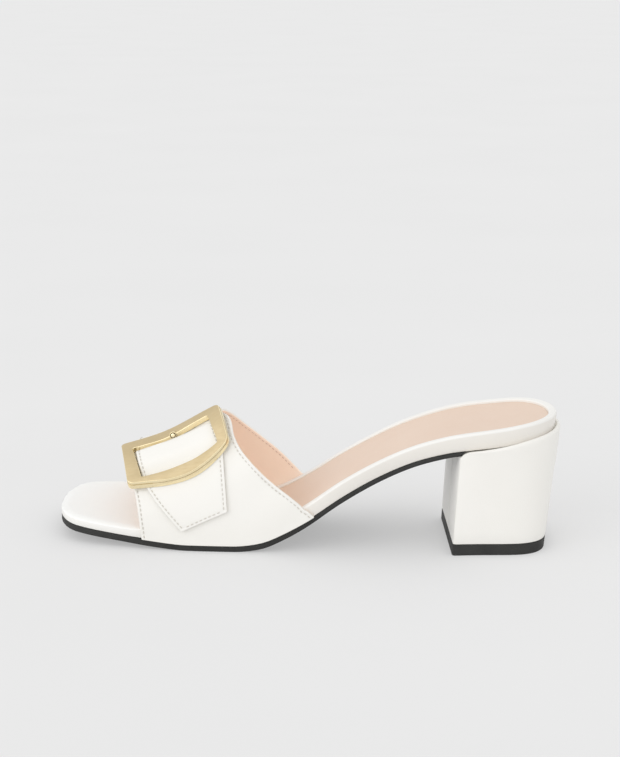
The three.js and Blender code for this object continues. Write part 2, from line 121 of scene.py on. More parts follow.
# Flat thicknesses of the outsole and the footbed, before they are laid on the last.
SHEET = 3
BOARD = 7
RIM_ROUND = 1.1
RECESS = 1.7                   # depth of the sock's recess in the flat board
RECESS_STEP = 0.6              # width of the soft step down into it
RIM_CREST = 0.45
TOE_ROLL = 1.0                 # how far the toe's leather rolls down at its edge
# Heel: heights at which its lip starts and reaches full width, and the ring it is traced from.
LIP_START = 36
LIP_FULL = 52
LIP_TRACE = 54
LIP_DROP = 1.3
HEEL_MIDDLE_X = 90
STRAP_SWELL = 2.5
OUTER_CORNER = 2.6             # corner radii of the buckle's outer edge and of its hole
INNER_CORNER = 0.9
GROOVE_LEVELS = (0.56, 0.64, 0.72)     # shares of the frame's thickness
GROOVE_DEPTH = 0.55
# Small post beside the far bar: its place on the strap, and its lean in degrees.
LUG_REACH = 10.2
LUG_LIFT = 4.1
LUG_SHIFT = 1.2
LUG_TILT = 60


# ---------------------------------------------------------------------- curves
def mix(a, b, t):
    return a + (b - a) * t


def column(table, key):
    """Smooth value of a table's column, through every row."""
    xs = [row[0] for row in table]
    vs = [row[key] for row in table]
    last = len(xs) - 2

    def slope(i):
        a, b = max(i - 1, 0), min(i + 1, len(xs) - 1)
        return (vs[b] - vs[a]) / (xs[b] - xs[a])

    slopes = [slope(i) for i in range(len(xs))]

    def value(x):
        i = 0
        while i < last and xs[i + 1] <= x:
            i += 1
        span = xs[i + 1] - xs[i]
        t = (x - xs[i]) / span
        if t < 0:
            return vs[i] + slopes[i] * (x - xs[i])
        if t > 1:
            return vs[i + 1] + slopes[i + 1] * (x - xs[i + 1])
        h = t * t * (3 - 2 * t)
        rise = span * t * (1 - t)
        return mix(vs[i], vs[i + 1], h) + rise * ((1 - t) * slopes[i] - t * slopes[i + 1])
    return value


underside_raw = column(PROFILE, 1)
outsole_thick = column(PROFILE, 2)
footbed_thick = column(PROFILE, 3)
sole_margin = column(SOLE_MARGIN, 1)
ridge_y = column(RIDGE, 1)
ridge_z = column(RIDGE, 2)
vamp_toe = column(VAMP_EDGES, 1)
vamp_throat = column(VAMP_EDGES, 2)
strap_front = column(STRAP, 1)
strap_back = column(STRAP, 2)


def underside(x):
    return max(0, underside_raw(x))


def sole_top(x):
    return underside(x) + outsole_thick(x)


def footbed_top(x):
    return sole_top(x) + footbed_thick(x)


def bell(distance, width):
    return exp(-(distance / width) ** 2)


def ease(x, low, high):
    t = min(max((x - low) / (high - low), 0), 1)
    return t * t * (3 - 2 * t)


def through(points, count):
    """Closed smooth curve through the points, as that many evenly spaced spots."""
    dense = []
    n = len(points)
    for i in range(n):
        p = [Vector(points[(i + k - 1) % n]) for k in range(4)]
        d = [max((p[k + 1] - p[k]).length ** 0.5, 1e-4) for k in range(3)]
        m1 = ((p[1] - p[0]) / d[0] - (p[2] - p[0]) / (d[0] + d[1]) + (p[2] - p[1]) / d[1]) * d[1]
        m2 = ((p[2] - p[1]) / d[1] - (p[3] - p[1]) / (d[1] + d[2]) + (p[3] - p[2]) / d[2]) * d[1]
        for k in range(40):
            t = k / 40
            dense.append(p[1] * (2 * t**3 - 3 * t**2 + 1) + m1 * (t**3 - 2 * t**2 + t)
                         + p[2] * (3 * t**2 - 2 * t**3) + m2 * (t**3 - t**2))
    dense.append(dense[0])
    run = [0.0]
    for a, b in zip(dense, dense[1:]):
        run.append(run[-1] + (b - a).length)
    spots, i = [], 0
    for k in range(count):
        goal = run[-1] * k / count
        while run[i + 1] < goal:
            i += 1
        spots.append(dense[i].lerp(dense[i + 1], (goal - run[i]) / (run[i + 1] - run[i])))
    return spots


OUTLINE = through([(x, lateral) for x, lateral, _ in PLAN]
                  + [(x, medial) for x, _, medial in reversed(PLAN[1:-1])], 220)


def outline(inset):
    """Footbed outline as a ring of (x, y), moved inwards by inset(x)."""
    ring = []
    for i, spot in enumerate(OUTLINE):
        along = (OUTLINE[(i + 1) % len(OUTLINE)] - OUTLINE[i - 1]).normalized()
        shift = inset(spot.x)
        ring.append(Vector((spot.x - along.y * shift, spot.y + along.x * shift)))
    return ring


def edge_table(side):
    """(x, y) along one side of the footbed, from toe to heel."""
    tip = min(range(len(OUTLINE)), key=lambda i: OUTLINE[i].x)
    end = max(range(len(OUTLINE)), key=lambda i: OUTLINE[i].x)
    ring = [OUTLINE[(tip + side * k) % len(OUTLINE)] for k in range(len(OUTLINE))]
    steps = (side * (end - tip)) % len(OUTLINE)
    return [(spot.x, spot.y) for spot in ring[:steps + 1]]


EDGES = {-1: edge_table(1), 1: edge_table(-1)}


def footbed_edge(x, side):
    table = EDGES[side]
    low, high = 0, len(table) - 1
    while high - low > 1:
        middle = (low + high) // 2
        if table[middle][0] > x:
            high = middle
        else:
            low = middle
    (xa, ya), (xb, yb) = table[low], table[high]
    return mix(ya, yb, min(max((x - xa) / max(xb - xa, 1e-6), 0), 1))


# -------------------------------------------------------------------- the last
def vamp_skin(x, share):
    """Outside of the vamp at x, at a share of the way from the lateral to the medial edge."""
    side = -1 if share < 0.5 else 1
    from_edge = share if share < 0.5 else 1 - share
    edge = footbed_edge(x, side) + side * (VAMP_GAP + VAMP_WALL)
    rim = footbed_top(x)
    if from_edge < BAND_SHARE:
        return Vector((x, edge, mix(sole_top(x) + 0.1, rim, from_edge / BAND_SHARE)))
    angle = (from_edge - BAND_SHARE) / (0.5 - BAND_SHARE) * pi / 2
    return Vector((x, mix(ridge_y(x), edge, cos(angle)), mix(rim, ridge_z(x), sin(angle))))


def on_vamp(x, share, lift):
    low, high = max(share - 0.004, 0), min(share + 0.004, 1)
    across = vamp_skin(x, high) - vamp_skin(x, low)
    along = vamp_skin(x + 0.4, share) - vamp_skin(x - 0.4, share)
    return vamp_skin(x, share) + along.cross(across).normalized() * lift


def share_at(x, reach):
    """Share of the section at a distance round it from the ridge, laterally if positive."""
    stop = 0 if reach > 0 else 1
    walked, here = 0.0, vamp_skin(x, 0.5)
    for i in range(1, 61):
        there = vamp_skin(x, mix(0.5, stop, i / 60))
        step = (there - here).length
        if walked + step >= abs(reach):
            return mix(0.5, stop, (i - 1 + (abs(reach) - walked) / step) / 60)
        walked += step
        here = there
    return stop


def on_strap_line(x, reach, lift):
    round_here = share_at(x, max(reach, STRAP_TURN))
    down = max((STRAP_TURN - reach) / (STRAP_TURN - STRAP[0][0]), 0)
    return on_vamp(x, mix(round_here, STRAP_END_SHARE, down), lift)


# ------------------------------------------------------------------- modelling
def edit():
    bpy.ops.object.mode_set(mode="EDIT")


def done():
    bpy.ops.object.mode_set(mode="OBJECT")


def pick(kind, test):
    """Selects the vertices, edges or faces that pass the test, in edit mode."""
    bpy.ops.mesh.select_mode(type=kind)
    bpy.ops.mesh.select_all(action="DESELECT")
    mesh = bmesh.from_edit_mesh(bpy.context.object.data)
    chosen = {"VERT": mesh.verts, "EDGE": mesh.edges, "FACE": mesh.faces}[kind]
    for part in chosen:
        part.select_set(test(part))
    mesh.select_flush_mode()
    bmesh.update_edit_mesh(bpy.context.object.data)


def name_piece(name):
    piece = bpy.context.object
    piece.name = name
    piece.data.name = name
    return piece


def disc(ring):
    """One flat face on a ring of points."""
    bpy.ops.mesh.primitive_circle_add(vertices=len(ring), radius=1, fill_type="NGON", location=(0, 0, 0))
    for vertex, spot in zip(bpy.context.object.data.vertices, ring):
        vertex.co = spot.to_3d()


def cut_across(low, high, step, axis=0):
    """Cuts everything at even stations along an axis, so that it can bend."""
    place = low + step / 2
    while place < high:
        spot, way = [0, 0, 0], [0, 0, 0]
        spot[axis], way[axis] = place, 1
        bpy.ops.mesh.select_all(action="SELECT")
        bpy.ops.mesh.bisect(plane_co=spot, plane_no=way)
        place += step


def raise_plate(height):
    bpy.ops.mesh.select_all(action="SELECT")
    bpy.ops.mesh.extrude_region_move(TRANSFORM_OT_translate={"value": (0, 0, height)})
    bpy.ops.mesh.select_all(action="SELECT")
    bpy.ops.mesh.normals_make_consistent(inside=False)


def round_edges(test, offset, segments):
    pick("EDGE", test)
    bpy.ops.mesh.bevel(offset=offset, segments=segments, profile=0.5, affect="EDGES")


def level_edge(z):
    """Test for an edge that lies at height z on the rim of a flat piece."""
    def test(edge):
        flat = all(abs(vertex.co.z - z) < 1e-3 for vertex in edge.verts)
        return flat and edge.calc_face_angle(0) > 1
    return test


def lay(piece, place):
    """Moves a flat piece's points, in millimetres, to where they lie on the shoe."""
    for vertex in piece.data.vertices:
        x, y, z = place(*vertex.co)
        vertex.co = (ORIGIN_X + x * MM, ORIGIN_Y + y * MM, z * MM)
    piece.data.update()


def finish_normals(piece, angle):
    edit()
    bpy.ops.mesh.select_all(action="SELECT")
    bpy.ops.mesh.normals_make_consistent(inside=False)
    done()
    bpy.ops.object.shade_smooth_by_angle(angle=radians(angle))


def stack(rings):
    """Closed body through rings of equal count, each extruded from the one below it."""
    disc(rings[0])
    edit()
    bpy.ops.mesh.select_all(action="SELECT")
    data = bpy.context.object.data
    for below, ring in zip(rings, rings[1:]):
        tree = KDTree(len(below))
        for i, spot in enumerate(below):
            tree.insert(spot, i)
        tree.balance()
        bpy.ops.mesh.extrude_region_move()
        mesh = bmesh.from_edit_mesh(data)
        moves = [(vertex, ring[tree.find(vertex.co)[1]]) for vertex in mesh.verts if vertex.select]
        for vertex, spot in moves:
            vertex.co = spot
        bmesh.update_edit_mesh(data)
    bpy.ops.mesh.select_all(action="SELECT")
    bpy.ops.mesh.normals_make_consistent(inside=False)
    done()


def panel(runs, crosses, thickness, rounding):
    """Flat panel of one thickness with rounded edges, its upper face at height 0."""
    bpy.ops.mesh.primitive_grid_add(x_subdivisions=len(runs) - 1, y_subdivisions=len(crosses) - 1,
                                    size=2, location=(0, 0, 0))
    for vertex in bpy.context.object.data.vertices:
        i = round((vertex.co.x + 1) / 2 * (len(runs) - 1))
        j = round((vertex.co.y + 1) / 2 * (len(crosses) - 1))
        vertex.co = (runs[i], crosses[j], 0)
    edit()
    raise_plate(-thickness)
    round_edges(lambda edge: edge.calc_face_angle(0) > 1, rounding, 3)
    done()


def steps(low, high, count):
    return [mix(low, high, i / count) for i in range(count + 1)]


EDGE_STEPS = [0, 0.8, 1.2, 1.5, 1.8, 2.4, 4, 6.5]


def crosses_for(width, middle):
    """Stations across a panel, close together beside its two stitched edges."""
    inner = steps(EDGE_STEPS[-1], width - EDGE_STEPS[-1], middle)[1:-1]
    return EDGE_STEPS + inner + [width - step for step in reversed(EDGE_STEPS)]


def channel(distance):
    """Depth of the groove in which an edge's stitches lie."""
    return 0.14 * bell(distance - STITCH_INSET, 0.45)


# ------------------------------------------------------------------- materials
def shader(name, colour, roughness, metallic=0.0, coat=0.0):
    material = bpy.data.materials.new(name)
    material.use_nodes = True
    nodes = material.node_tree.nodes
    skin = nodes["Principled BSDF"]
    skin.inputs["Base Color"].default_value = (*colour, 1)
    skin.inputs["Roughness"].default_value = roughness
    skin.inputs["Metallic"].default_value = metallic
    skin.inputs["Coat Weight"].default_value = coat
    skin.inputs["Coat Roughness"].default_value = 0.3
    place = nodes.new("ShaderNodeTexCoord")
    return material, nodes, material.node_tree.links, skin, place


def add_noise(nodes, links, source, scale, detail=3.0, stretch=(1, 1, 1)):
    mapping = nodes.new("ShaderNodeMapping")
    mapping.inputs["Scale"].default_value = stretch
    noise = nodes.new("ShaderNodeTexNoise")
    noise.inputs["Scale"].default_value = scale
    noise.inputs["Detail"].default_value = detail
    links.new(source, mapping.inputs["Vector"])
    links.new(mapping.outputs["Vector"], noise.inputs["Vector"])
    return noise.outputs["Fac"]


def add_range(nodes, links, source, low, high):
    span = nodes.new("ShaderNodeMapRange")
    span.inputs["From Min"].default_value = 0.3
    span.inputs["From Max"].default_value = 0.7
    span.inputs["To Min"].default_value = low
    span.inputs["To Max"].default_value = high
    links.new(source, span.inputs["Value"])
    return span.outputs["Result"]


def add_tint(nodes, links, source, colours, socket):
    ramp = nodes.new("ShaderNodeValToRGB")
    ramp.color_ramp.elements[0].position = 0.3
    ramp.color_ramp.elements[1].position = 0.7
    for element, colour in zip(ramp.color_ramp.elements, colours):
        element.color = (*colour, 1)
    links.new(source, ramp.inputs["Fac"])
    links.new(ramp.outputs["Color"], socket)


def leather(name, light, dark, roughness, grain, depth):
    """Smooth leather: fine pebbled grain, faint clouding, and slightly uneven sheen."""
    material, nodes, links, skin, place = shader(name, light, roughness[0])
    spot = place.outputs["Object"]
    add_tint(nodes, links, add_noise(nodes, links, spot, 38), (dark, light), skin.inputs["Base Color"])
    sheen = add_range(nodes, links, add_noise(nodes, links, spot, 160), *roughness)
    links.new(sheen, skin.inputs["Roughness"])
    pebble = nodes.new("ShaderNodeTexVoronoi")
    pebble.inputs["Scale"].default_value = grain
    links.new(spot, pebble.inputs["Vector"])
    soft = nodes.new("ShaderNodeMath")
    soft.operation = "ADD"
    links.new(pebble.outputs["Distance"], soft.inputs[0])
    links.new(add_noise(nodes, links, spot, grain * 0.4, 5), soft.inputs[1])
    bump = nodes.new("ShaderNodeBump")
    bump.inputs["Strength"].default_value = depth
    bump.inputs["Distance"].default_value = 0.0002
    links.new(soft.outputs["Value"], bump.inputs["Height"])
    links.new(bump.outputs["Normal"], skin.inputs["Normal"])
    return material


def metal(name, light, dark, roughness, stretch, depth):
    """Pale gold plate with fine lines along the bars."""
    material, nodes, links, skin, place = shader(name, light, roughness[0], metallic=1.0)
    spot = place.outputs["Object"]
    add_tint(nodes, links, add_noise(nodes, links, spot, 90), (dark, light), skin.inputs["Base Color"])
    lines = add_noise(nodes, links, spot, 900, 6, stretch)
    links.new(add_range(nodes, links, lines, *roughness), skin.inputs["Roughness"])
    bump = nodes.new("ShaderNodeBump")
    bump.inputs["Strength"].default_value = depth
    bump.inputs["Distance"].default_value = 0.00005
    links.new(lines, bump.inputs["Height"])
    links.new(bump.outputs["Normal"], skin.inputs["Normal"])
    return material


WHITE = leather("white_leather", (0.90, 0.885, 0.845), (0.885, 0.868, 0.825), (0.34, 0.44), 1700, 0.12)
# Darker beige for the strap's cut sides: painted shade along the strap's edge.
STRAP_SIDE_SHADE = leather("strap_side_painted_shade", (0.66, 0.62, 0.55), (0.62, 0.58, 0.51), (0.5, 0.6), 1500, 0.15)
# Lighter copy of the white leather: painted light on the footbed's top faces ahead of the sock.
TOE_TOP_PAINTED_LIGHT = leather("white_toe_painted_light", (0.95, 0.955, 0.94), (0.93, 0.935, 0.92), (0.42, 0.52), 1500, 0.15)
# Darker copy of the white leather: painted shade on the footbed's sides behind the sock.
BAND_PAINTED_SHADE = leather("white_band_painted_shade", (0.855, 0.825, 0.775), (0.84, 0.81, 0.76), (0.42, 0.52), 1500, 0.15)
EDGE_WHITE = leather("white_edge", (0.895, 0.885, 0.855), (0.88, 0.868, 0.835), (0.42, 0.52), 1500, 0.15)
SOCK = leather("blush_sock", (0.80, 0.635, 0.52), (0.785, 0.615, 0.50), (0.5, 0.6), 1300, 0.25)
# Blush lining: its colour is its own, and the faint glow set below is painted light.
LINING_PAINTED_GLOW = leather("blush_lining_painted_glow", (0.97, 0.81, 0.685), (0.95, 0.785, 0.66), (0.42, 0.52), 1300, 0.25)
RUBBER = leather("black_sole", (0.024, 0.024, 0.022), (0.017, 0.017, 0.016), (0.6, 0.75), 1100, 0.4)
THREAD = leather("thread", (0.72, 0.695, 0.64), (0.66, 0.63, 0.57), (0.6, 0.75), 2600, 0.6)
GOLD_FACE = metal("gold_brushed", (0.72, 0.60, 0.385), (0.66, 0.545, 0.34), (0.55, 0.68),
                  (0.06, 1, 1), 0.25)
BLUSH_THREAD = leather("blush_thread", (0.80, 0.67, 0.57), (0.75, 0.62, 0.52), (0.6, 0.75), 2600, 0.6)
# Dark gold for the frame's groove: painted shade in the recess.
GROOVE_SHADE_GOLD = metal("gold_groove_painted_shade", (0.5, 0.38, 0.2), (0.45, 0.34, 0.17), (0.3, 0.4), (1, 1, 1), 0.03)
LUG_SEAT_SHADE_GOLD = metal("gold_in_shade", (0.22, 0.16, 0.08), (0.18, 0.13, 0.06), (0.3, 0.4), (1, 1, 1), 0.03)
# Polished gold for edges and walls: its low roughness is real, its paler colour is a painted highlight.
GOLD_POLISHED_PAINTED_HIGHLIGHT = metal("gold_polished_painted_highlight", (0.98, 0.85, 0.56), (0.94, 0.80, 0.51), (0.16, 0.24), (1, 1, 1), 0.03)

# The lining glows faintly: painted light that lifts it where it lies in shade inside the vamp.
for name, value in (("Emission Color", (1, 0.84, 0.72, 1)), ("Emission Strength", 0.09)):
    LINING_PAINTED_GLOW.node_tree.nodes["Principled BSDF"].inputs[name].default_value = value

pieces = []


def keep(piece, node=None, materials=()):
    """Registers a finished piece: its materials, the solid it stands for, its body."""
    for material in materials:
        piece.data.materials.append(material)
    if node:
        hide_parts(node)
    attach(piece, "root")
    pieces.append(piece)
    return piece


def paint(piece, index, test):
    for face in piece.data.polygons:
        if test(face):
            face.material_index = index


# -------------------------------------------------------------------- the sole
def dish(x, y):
    """How far the bed dips between its edges: a little under the ball, more in the heel."""
    lateral, medial = footbed_edge(x, -1), footbed_edge(x, 1)
    across = (y - (lateral + medial) / 2) / max((medial - lateral) / 2, 1)
    hollow = 0.5 + 0.7 * bell(x - 86, 26)
    return hollow * max(0, 1 - across * across)


def make_outsole():
    disc(outline(lambda x: -sole_margin(x)))
    edit()
    raise_plate(1)
    bpy.ops.mesh.select_all(action="SELECT")
    bpy.ops.transform.resize(value=(1, 1, SHEET), center_override=(0, 0, 0))
    round_edges(lambda edge: edge.calc_face_angle(0) > 1, 0.5, 3)
    bpy.ops.mesh.select_all(action="SELECT")
    bpy.ops.mesh.bisect(plane_co=(OUTSOLE_END_X, 0, 0), plane_no=(3, 0, -2.4), clear_outer=True,
                        use_fill=True)
    cut_across(-121, OUTSOLE_END_X, 2.5)
    done()
    piece = name_piece("outsole_sheet")
    lay(piece, lambda x, y, z: (x, y, underside(x) + z / SHEET * outsole_thick(x)))
    finish_normals(piece, 35)
    keep(piece, "outsole", [RUBBER])


def make_footbed():
    disc(outline(lambda x: 0))
    edit()
    raise_plate(BOARD)
    round_edges(level_edge(BOARD), RIM_ROUND, 5)
    round_edges(level_edge(0), 0.6, 2)
    pick("FACE", lambda face: face.normal.z > 0.9 and face.calc_area() > 1000)
    bpy.ops.mesh.inset(thickness=SOCK_BORDER - RIM_ROUND - RECESS_STEP)
    bpy.ops.mesh.inset(thickness=RECESS_STEP)
    bpy.ops.mesh.bisect(plane_co=(SOCK_START_X - 0.3, 0, 0), plane_no=(1, 0, 0))
    pick("FACE", lambda face: face.normal.z > 0.9 and face.calc_center_median().x > SOCK_START_X
         and face.calc_area() > 1000)
    bpy.ops.mesh.extrude_region_move(TRANSFORM_OT_translate={"value": (0, 0, -RECESS)})
    round_edges(level_edge(BOARD), 0.5, 3)
    cut_across(-121, 119, 2.5)
    cut_across(-26, 56, 6, axis=1)
    done()
    piece = name_piece("footbed_cover")

    def place(x, y, z):
        rise = sole_top(x) + 0.12 + min(z, BOARD) / BOARD * (footbed_thick(x) - 0.12)
        middle = (footbed_edge(x, -1) + footbed_edge(x, 1)) / 2
        tuck = 1 - 0.05 * (1 - min(z, BOARD) / BOARD) * ease(x, -5, 30)
        beside = 1 if y < middle else ease(x, 10, 60)
        crest = RIM_CREST * ease(z, BOARD - RECESS, BOARD) * ease(x, -82, -66) * beside
        if x < -76 and z > 3:
            inside = min((spot - Vector((x, y))).length for spot in OUTLINE)
            crest -= TOE_ROLL * (1 - ease(x, -86, -76)) * max(1 - inside / 4.2, 0) ** 2
        x -= 0.035 * (1 - min(z, BOARD) / BOARD) * max(x - 90, 0)
        return x, middle + (y - middle) * tuck, rise + crest - dish(x, y) * min(z / 5, 1)
    for material in (EDGE_WHITE, BAND_PAINTED_SHADE, TOE_TOP_PAINTED_LIGHT):
        piece.data.materials.append(material)
    # Top faces ahead of the sock take the lighter copy of the white: painted light.
    paint(piece, 2, lambda face: face.normal.z > 0.3 and face.center.x < SOCK_START_X)
    # Side faces behind the sock take the darker copy of the white: painted shade.
    paint(piece, 1, lambda face: face.normal.z < 0.3 and face.center.x > SOCK_START_X)
    lay(piece, place)
    finish_normals(piece, 50)
    keep(piece, "footbed")


def make_sock():
    disc(outline(lambda x: SOCK_BORDER + 0.1))
    edit()
    raise_plate(1)
    bpy.ops.mesh.select_all(action="SELECT")
    bpy.ops.mesh.bisect(plane_co=(SOCK_START_X, 0, 0), plane_no=(1, 0, 0), clear_inner=True,
                        use_fill=True)
    round_edges(level_edge(1), 0.45, 3)
    cut_across(SOCK_START_X, 116, 2.5)
    cut_across(-26, 54, 6, axis=1)
    done()
    piece = name_piece("sock_leather")
    lay(piece, lambda x, y, z: (x, y, footbed_top(x) - RECESS + 0.1 + 1.05 * z - dish(x, y)))
    finish_normals(piece, 50)
    keep(piece, "sock", [SOCK])


# -------------------------------------------------------------------- the heel
def heel_ring(z, inset=0.0):
    """Ring round the heel at height z, with a closed seam down the middle of its breast."""
    up = z / SEAT_HEIGHT

    def at(size):
        return mix(size["floor"], size["seat"], up)
    front, back, half = at(BREAST_X) + inset, at(HEEL_BACK_X) - inset, at(HEEL_HALF_WIDTH) - inset
    start, power, front_half = at(HEEL_TAIL_START), at(HEEL_TAIL_POWER), at(HEEL_FRONT_HALF) - inset
    side = [(front + 1.3, 0), (front + 0.35, 0.3), (front, 0.7), (front, front_half - HEEL_CORNER)]
    for k in range(1, 4):
        turn = k / 4 * pi / 2
        side.append((front + HEEL_CORNER * (1 - cos(turn)), front_half - HEEL_CORNER * (1 - sin(turn))))
    side.append((front + HEEL_CORNER, front_half))
    for k in range(1, 5):
        share = k / 5
        side.append((mix(front + HEEL_CORNER, start, share),
                     mix(front_half, half, 1 - (1 - share) ** 2)))
    for k in range(25):
        turn = k / 24 * pi / 2
        side.append((start + (back - start) * sin(turn) ** (2 / power),
                     half * max(cos(turn), 0) ** (2 / power)))

    def skew(x, y):
        return -BREAST_SKEW * y / front_half if x < mix(front, start, 0.5) else 0
    ring = [(x + skew(x, -y), -y) for x, y in side[1:-1]]
    ring += [(x + skew(x, y), y) for x, y in reversed(side)]
    return [Vector((x, y, z)) for x, y in ring]


def clear_of_footbed(spot, margin):
    """A point moved sideways until it stands that far outside the footbed."""
    if spot.x < 76:
        return spot
    near = min(OUTLINE, key=lambda other: (other - spot.xy).length)
    away = Vector((near.x - 84, near.y - 1)).normalized()
    gap = (spot.xy - near).dot(away)
    moved = spot.xy + away * max(margin - gap, 0)
    return Vector((moved.x, moved.y, spot.z))


def lip_top(x):
    share = min(max((x - BREAST_X["seat"]) / (HEEL_BACK_X["seat"] - BREAST_X["seat"]), 0), 1)
    behind_sole = underside(x) - 0.1 + max(x - OUTSOLE_END_X - 0.5, 0) * 1.1
    return min(sole_top(x) + LIP_RISE * share, behind_sole)


def lip_round(x):
    """The lip's round dies out towards the heel's front corners."""
    return 0.25 + 0.75 * ease(x, 74, 92)


def lip_margin(x):
    """How far the heel's lip stands off the footbed."""
    return 1.2 + 0.6 * ease(x, 100, 116)


def wall_ring(share):
    """Ring of the heel's upper wall, which widens into the lip as share goes from 0 to 1."""
    ring = []
    for spot in heel_ring(mix(LIP_START, LIP_FULL, share)):
        z = mix(LIP_START, lip_top(spot.x) - LIP_DROP * lip_round(spot.x), share)
        ring.append(clear_of_footbed(Vector((spot.x, spot.y, z)), lip_margin(spot.x) * share))
    return ring


def lip_ring(inset, drop):
    """Ring on the lip's rolled edge, drawn in by inset and lowered by drop."""
    ring = []
    for trace in heel_ring(LIP_TRACE):
        spot = clear_of_footbed(Vector((trace.x, trace.y, 0)), lip_margin(trace.x))
        inward = (Vector((HEEL_MIDDLE_X, 0, 0)) - spot).normalized() * inset
        z = lip_top(spot.x) - drop * lip_round(spot.x)
        ring.append(Vector((spot.x + inward.x, spot.y + inward.y, z)))
    return ring


def make_heel():
    bottom = HEEL_CAP_HEIGHT + 0.15
    rings = [heel_ring(bottom, 0.4), heel_ring(bottom + 0.15, 0.12), heel_ring(bottom + 0.4)]
    rings += [heel_ring(z) for z in (12, 20, 28, LIP_START)]
    rings += [wall_ring(share) for share in (0.25, 0.5, 0.7, 0.85, 0.95)]
    rings += [lip_ring(*roll) for roll in ((0.0, LIP_DROP), (0.25, 0.5), (0.8, 0.12), (1.5, 0))]
    rings.append([Vector((spot.x + (HEEL_MIDDLE_X - spot.x) * 0.1, spot.y * 0.9, sole_top(spot.x) - 0.4))
                  for spot in rings[-1]])
    stack(rings)
    piece = name_piece("heel_cover")
    lay(piece, lambda x, y, z: (x, y, z))
    finish_normals(piece, 40)
    keep(piece, "heel_block", [WHITE])

    stack([heel_ring(0, 0.3), heel_ring(0.3),
           heel_ring(HEEL_CAP_HEIGHT - 0.25), heel_ring(HEEL_CAP_HEIGHT, 0.25)])
    piece = name_piece("heel_top_piece")
    lay(piece, lambda x, y, z: (x, y, z))
    finish_normals(piece, 40)
    keep(piece, "heel_cap", [RUBBER])


# ------------------------------------------------------------------- the upper
VAMP_RUN = 170
VAMP_WIDTH = 60
EDGE_REACH = EDGE_STEPS[-1]


def edge_stretch(edge, share):
    """Millimetres of x for one millimetre square to the vamp's edge."""
    low, high = max(share - 0.01, 0), min(share + 0.01, 1)
    x = edge(share)
    along = (vamp_skin(edge(high), high) - vamp_skin(edge(low), low)).normalized()
    step = vamp_skin(x + 1, share) - vamp_skin(x, share)
    square = (step - along * step.dot(along)).length
    return 1 / max(square, 0.45)


def vamp_x(share, cross):
    """x of a point of the vamp, cross millimetres back from its toe edge in the flat."""
    toe, throat = vamp_toe(share), vamp_throat(share)
    toe_in = toe + min(cross, EDGE_REACH) * edge_stretch(vamp_toe, share)
    left = VAMP_WIDTH - cross
    throat_in = throat - min(left, EDGE_REACH) * edge_stretch(vamp_throat, share)
    if cross <= EDGE_REACH:
        return toe_in
    if left <= EDGE_REACH:
        return throat_in
    return mix(toe_in, throat_in, (cross - EDGE_REACH) / (VAMP_WIDTH - 2 * EDGE_REACH))


# Soft troughs (negative) and ridges in the leather: x, share, depth, length, width, turn.
FOLDS = [
    (-20, 0.17, -0.35, 16, 5, 35),
    (-32, 0.22, 0.25, 14, 5, 30),
    (-62, 0.13, -0.2, 14, 5, 10),
    (-8, 0.12, 0.25, 9, 4, 40),
]


def folds(x, share):
    total = 0.0
    for at_x, at_share, depth, length, width, turn in FOLDS:
        dx, dy = x - at_x, (share - at_share) * VAMP_RUN
        along = dx * cos(radians(turn)) + dy * sin(radians(turn))
        across = dy * cos(radians(turn)) - dx * sin(radians(turn))
        total += depth * bell(along, length) * bell(across, width)
    return total


def make_vamp():
    panel(steps(0, VAMP_RUN, 130), crosses_for(VAMP_WIDTH, 22), VAMP_WALL, 0.65)
    piece = name_piece("vamp_leather")
    for _ in range(2):
        piece.data.materials.append(WHITE)
    piece.data.materials[1] = LINING_PAINTED_GLOW
    # The vamp's inner face takes the blush lining, whose faint glow is painted light.
    paint(piece, 1, lambda face: face.normal.z < -0.5)

    def place(run, cross, z):
        share = run / VAMP_RUN
        x = vamp_x(share, cross)
        groove = channel(cross) + channel(VAMP_WIDTH - cross) if z > -0.2 else 0
        return on_vamp(x, share, z - groove + folds(x, share))
    lay(piece, place)
    finish_normals(piece, 50)
    keep(piece, "vamp")


STRAP_START = -60
STRAP_BODY = 40
STRAP_RUN = 118.5
STRAP_WIDTH = 40


def strap_spot(run, cross):
    """(x, reach) of a point of the strap, cut flat with its tapered end last."""
    body = min(run, STRAP_BODY - STRAP_START)
    reach = STRAP_START + body
    end = max(run - (STRAP_BODY - STRAP_START), 0) / (STRAP_RUN - (STRAP_BODY - STRAP_START))
    (front_x, front_reach), (back_x, back_reach) = STRAP_TIP["front"], STRAP_TIP["back"]
    span_here = mix(strap_back(reach) - strap_front(reach), back_x - front_x, end)
    share = cross / STRAP_WIDTH
    near_edge = min(cross, STRAP_WIDTH - cross)
    if near_edge < EDGE_REACH:
        exact = near_edge / span_here
        share = exact if cross < STRAP_WIDTH / 2 else 1 - exact
    else:
        low = EDGE_REACH / span_here
        share = mix(low, 1 - low, (cross - EDGE_REACH) / (STRAP_WIDTH - 2 * EDGE_REACH))
    x = mix(mix(strap_front(reach), front_x, end), mix(strap_back(reach), back_x, end), share)
    return x, mix(reach, mix(front_reach, back_reach, share), end)


def strap_lift(x, reach):
    """The strap swells up through the buckle's window."""
    swell = ease(reach, 10.1, 12.2) * (1 - ease(reach, 19, 27)) * bell(x + 72, 23)
    return 0.15 + STRAP_SWELL * swell


